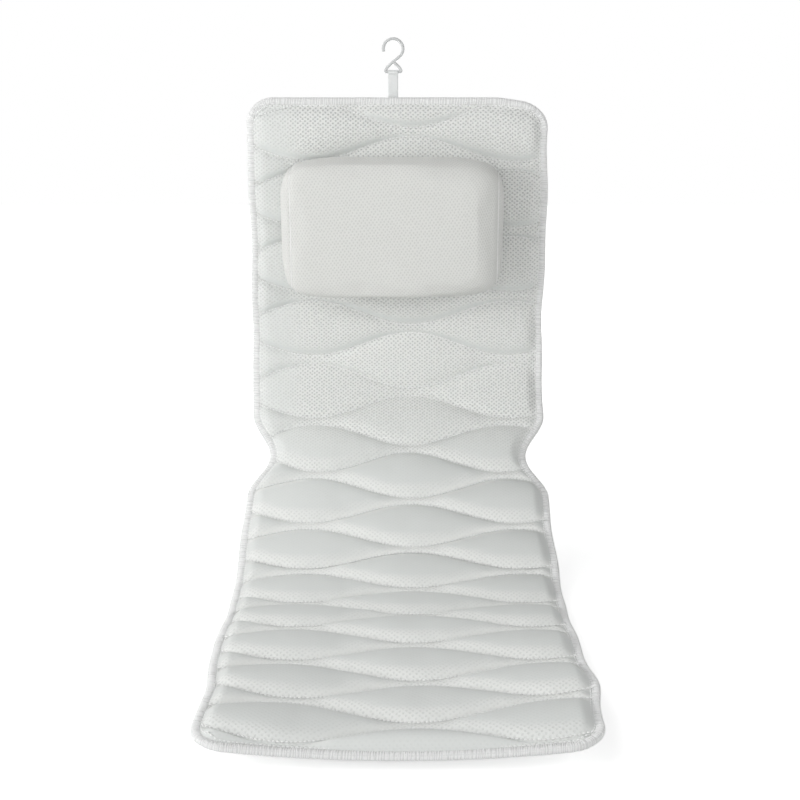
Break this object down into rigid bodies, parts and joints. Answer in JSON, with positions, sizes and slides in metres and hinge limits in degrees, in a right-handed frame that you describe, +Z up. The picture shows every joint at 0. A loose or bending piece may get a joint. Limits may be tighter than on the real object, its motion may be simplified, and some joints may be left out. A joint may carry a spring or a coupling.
{
  "type": "bath pillow",
  "caption": "Full-body bath pillow: a quilted mesh mat with a drawn-in waist, a peel-off head pillow, suction cups beneath and a hanging strap with a hook.",
  "frame": {"origin": "on the tub's floor, midway between the two seat cups", "axes": "+Z up, +Y from the feet towards the back, +X to the right as seen from the feet"},
  "size_m": [0.4, 0.7417, 0.6702],
  "materials": {
    "mesh": "open spacer mesh",
    "pillow_mesh": "fine open mesh",
    "padding": "fibre padding",
    "backing": "fine mesh",
    "binding": "overlocked tape",
    "strip": "hook and loop",
    "webbing": "woven",
    "hook": "moulded",
    "cup": "clear soft vinyl"
  },
  "bodies": {
    "seat": {"seat_face": "mesh", "seat_core": "padding", "seat_backing": "backing", "seat_binding_left": "binding", "seat_binding_right": "binding", "seat_cup_1": "cup", "seat_cup_2": "cup", "waist_face": "mesh", "waist_core": "padding", "waist_backing": "backing", "waist_binding_left": "binding", "waist_binding_right": "binding", "knee_face": "mesh", "knee_core": "padding", "knee_backing": "backing", "knee_binding_left": "binding", "knee_binding_right": "binding"},
    "back": {"back_face": "mesh", "back_core": "padding", "back_backing": "backing", "back_binding": "binding", "back_cup_1": "cup", "back_cup_2": "cup", "back_cup_3": "cup", "back_cup_4": "cup", "loop_strip_left": "strip", "loop_strip_right": "strip", "strap_tail": "webbing"},
    "legs": {"legs_face": "mesh", "legs_core": "padding", "legs_backing": "backing", "legs_binding": "binding", "legs_cup_1": "cup", "legs_cup_2": "cup", "legs_cup_3": "cup", "legs_cup_4": "cup"},
    "pillow": {"pillow_cover": "pillow_mesh", "pillow_rear_panel": "pillow_mesh", "pillow_fill": "padding", "pillow_piping": "binding", "hook_strip_left": "strip", "hook_strip_right": "strip"},
    "strap": {"strap_loop": "webbing"},
    "hook": {"hook": "hook"}
  },
  "joints": [
    {"name": "waist_fold", "type": "hinge", "parent": "seat", "child": "back", "pos_m": [0, 0.25431, 0.1158], "axis": [1, 0, 0], "range_deg": [-60, 50], "deforming": ["waist_face", "waist_core", "waist_backing", "waist_binding_left", "waist_binding_right"]},
    {"name": "knee_fold", "type": "hinge", "parent": "seat", "child": "legs", "pos_m": [0, -0.07041, 0.02052], "axis": [1, 0, 0], "range_deg": [-60, 30], "deforming": ["knee_face", "knee_core", "knee_backing", "knee_binding_left", "knee_binding_right"]},
    {"name": "pillow_lift", "type": "slide", "parent": "back", "child": "pillow", "axis": [0, -0.9994, -0.0349], "range_m": [0, 0.1]},
    {"name": "strap_flex", "type": "hinge", "parent": "back", "child": "strap", "pos_m": [-0.006, 0.33497, 0.59471], "axis": [1, 0, 0], "range_deg": [-90, 90], "stiffness_Nm_per_rad": 0.006},
    {"name": "hook_swing", "type": "hinge", "parent": "strap", "child": "hook", "pos_m": [-0.006, 0.3339, 0.62519], "axis": [1, 0, 0], "range_deg": [-90, 90]}
  ]
}
